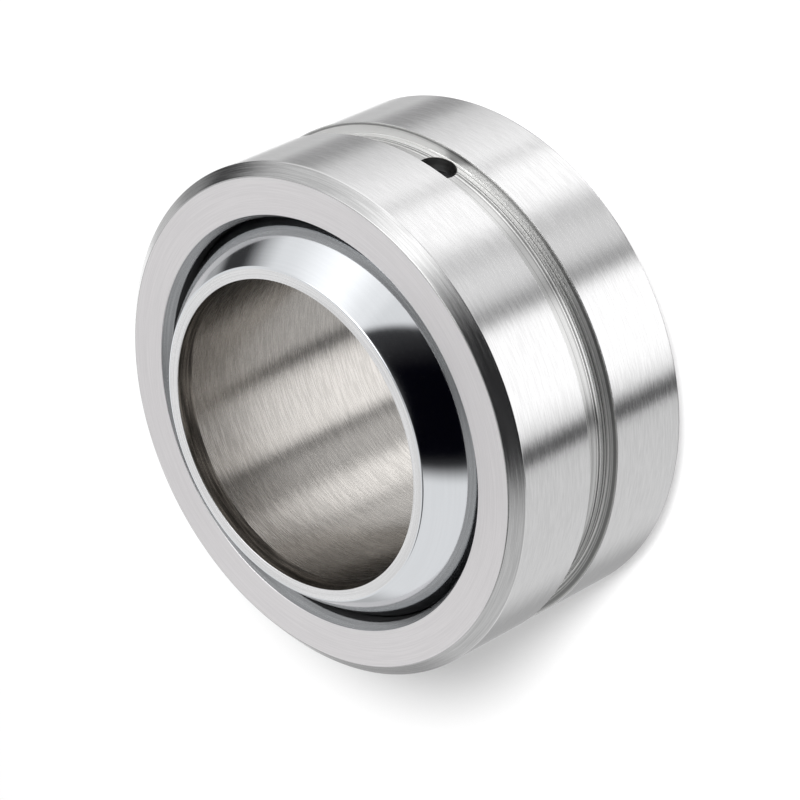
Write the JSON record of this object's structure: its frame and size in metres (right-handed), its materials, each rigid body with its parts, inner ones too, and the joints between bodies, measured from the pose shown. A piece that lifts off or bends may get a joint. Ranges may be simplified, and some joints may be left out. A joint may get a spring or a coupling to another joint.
{
  "type": "spherical plain bearing",
  "caption": "Radial spherical plain bearing: a steel ring with a truncated ball outside and a plain bore, tilting in an outer ring with a round lubrication groove.",
  "frame": {"origin": "centre of the ball, on the bore's axis at mid width", "axes": "+Z along the bore's axis, out of the face that the picture shows; +X out through one lubrication hole of the outer ring"},
  "size_m": [0.042, 0.042, 0.0242],
  "materials": {
    "inner_ring_steel": "ball ground and polished, bore and side faces finely turned",
    "outer_ring_steel": "outside and end faces ground, groove turned"
  },
  "bodies": {
    "inner": {"inner_ring": "inner_ring_steel"},
    "outer": {"outer_ring": "outer_ring_steel"}
  },
  "joints": [
    {"name": "tilt", "type": "hinge", "parent": "inner", "child": "outer", "pos_m": [0, 0, 0], "axis": [1, 0, 0], "range_deg": [-6, 6]}
  ]
}
